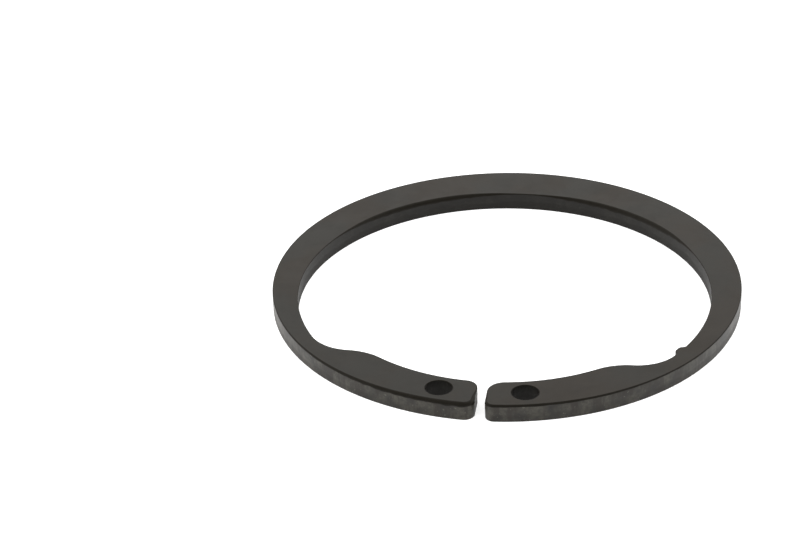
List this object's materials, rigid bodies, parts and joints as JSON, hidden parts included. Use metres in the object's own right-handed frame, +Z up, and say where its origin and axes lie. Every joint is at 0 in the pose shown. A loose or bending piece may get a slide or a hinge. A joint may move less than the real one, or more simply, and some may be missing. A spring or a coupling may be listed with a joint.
{
  "type": "retaining ring",
  "caption": "Flat open spring-steel ring with a plain round outer edge and inward lugs, which snaps into a groove in a shaft to hold a bearing or wheel along it.",
  "frame": {"origin": "on the ring's axis, the centre of its outer circle, at the lower face", "axes": "+Z up along the shaft's axis through the thickness, from the lower, broken-edged face to the upper, die-rounded face; the gap between the lugs is at -Y; +X to the right with the gap nearest the viewer"},
  "size_m": [0.0456, 0.0456, 0.0018],
  "materials": {
    "phosphated_steel": "dark grey phosphate and oil, satin faces, coarser sheared edges"
  },
  "bodies": {
    "root": {"retaining_ring": "phosphated_steel"}
  },
  "joints": []
}
